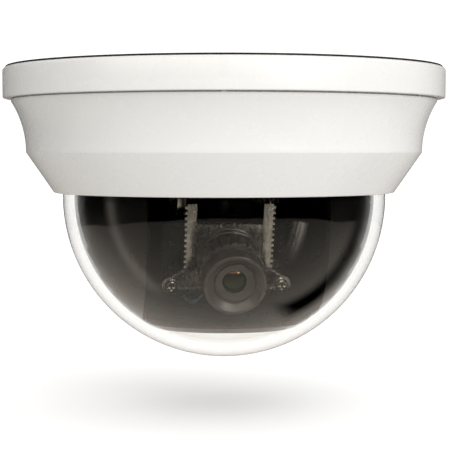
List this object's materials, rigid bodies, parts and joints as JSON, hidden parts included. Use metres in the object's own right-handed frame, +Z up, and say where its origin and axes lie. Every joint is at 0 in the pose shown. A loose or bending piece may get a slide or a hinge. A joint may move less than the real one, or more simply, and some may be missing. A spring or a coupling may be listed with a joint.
{
  "type": "dome security camera",
  "caption": "Ceiling dome security camera: flared white base and cover, thick clear dome, black liner with a window, and a small lens that pans, tilts and focuses inside.",
  "frame": {"origin": "centre of the base's ceiling face", "axes": "+Z up into the ceiling along the pan axis, the dome hangs towards -Z, and the lens looks towards -Y with the pan at 6.5 degrees towards +X"},
  "size_m": [0.13, 0.13, 0.0856],
  "materials": {
    "white_shell": "satin moulded",
    "foam_black": "closed-cell foam",
    "grommet_rubber": "soft matt",
    "seal_rubber": "soft matt",
    "circuit_board": "solder mask",
    "screw_steel": "nickel plated",
    "chip_black": "moulded epoxy",
    "capacitor_can": "drawn can",
    "coil_ferrite": "sintered",
    "connector_ivory": "moulded",
    "harness_sleeve": "woven sleeve",
    "mechanism_black": "moulded",
    "washer_nylon": "natural",
    "clear_dome": "clear polished",
    "bracket_steel": "stamped, plated",
    "liner_black": "satin black",
    "knob_black": "knurled",
    "sensor_package": "windowed package",
    "filter_glass": "coated",
    "lens_black": "satin black",
    "lead_blue": "insulated wire",
    "lens_glass": "coated"
  },
  "bodies": {
    "base": {"mounting_base": "white_shell", "base_rim": "white_shell", "bearing_posts": "white_shell", "base_ribs": "white_shell", "base_gasket": "foam_black", "cable_grommet": "grommet_rubber", "main_board": "circuit_board", "board_screws": "screw_steel", "board_chips": "chip_black", "board_capacitors": "capacitor_can", "power_coil": "coil_ferrite", "cable_header": "connector_ivory", "harness_socket": "connector_ivory", "harness_upper": "harness_sleeve", "bearing_ring": "mechanism_black", "bearing_ring_screws": "screw_steel", "friction_ring": "washer_nylon"},
    "cover": {"cover_shell": "white_shell", "dome_cover": "clear_dome", "dome_gasket": "seal_rubber", "dome_retaining_ring": "mechanism_black", "dome_ring_screws": "screw_steel"},
    "turret": {"turntable": "mechanism_black", "yoke_left": "bracket_steel", "yoke_right": "bracket_steel", "yoke_screws": "screw_steel", "liner_hood": "liner_black", "hood_screws": "screw_steel", "harness_middle": "harness_sleeve"},
    "cradle": {"tilt_cradle": "bracket_steel", "tilt_screws": "knob_black", "tilt_washers": "washer_nylon", "tilt_nuts": "screw_steel", "plate_screws": "screw_steel", "board_spacers": "screw_steel", "sensor_board": "circuit_board", "image_sensor": "sensor_package", "sensor_board_chips": "chip_black", "sensor_socket": "connector_ivory", "holder_screws": "screw_steel", "lens_holder": "mechanism_black", "infrared_filter": "filter_glass", "rear_barrel": "lens_black", "lens_lock_screw": "screw_steel", "harness_lower": "harness_sleeve", "infrared_filter_lead": "lead_blue"},
    "focus": {"focus_ring": "lens_black"},
    "lens": {"front_barrel": "lens_black", "lens_bezel": "lens_black", "front_glass": "lens_glass", "rear_glass": "lens_glass"}
  },
  "joints": [
    {"name": "cover_release", "type": "slide", "parent": "base", "child": "cover", "axis": [0, 0, -1], "range_m": [0, 0.06]},
    {"name": "pan_turn", "type": "hinge", "parent": "base", "child": "turret", "pos_m": [0, 0, -0.015], "axis": [0, 0, 1], "range_deg": [-175, 175]},
    {"name": "tilt_turn", "type": "hinge", "parent": "turret", "child": "cradle", "pos_m": [0, 0, -0.0378], "axis": [0.9936, 0.1132, 0], "range_deg": [-26, 5]},
    {"name": "focus_turn", "type": "hinge", "parent": "cradle", "child": "focus", "pos_m": [0.00118, -0.01039, -0.05493], "axis": [0.1057, -0.9276, -0.3584], "range_deg": [-90, 90]},
    {"name": "focus_travel", "type": "slide", "parent": "cradle", "child": "lens", "axis": [0.1057, -0.9276, -0.3584], "range_m": [-0.00099, 0.00099]}
  ],
  "couplings": [
    {"joint": "focus_turn", "follows": "focus_travel", "rad_per_m": 1570}
  ]
}
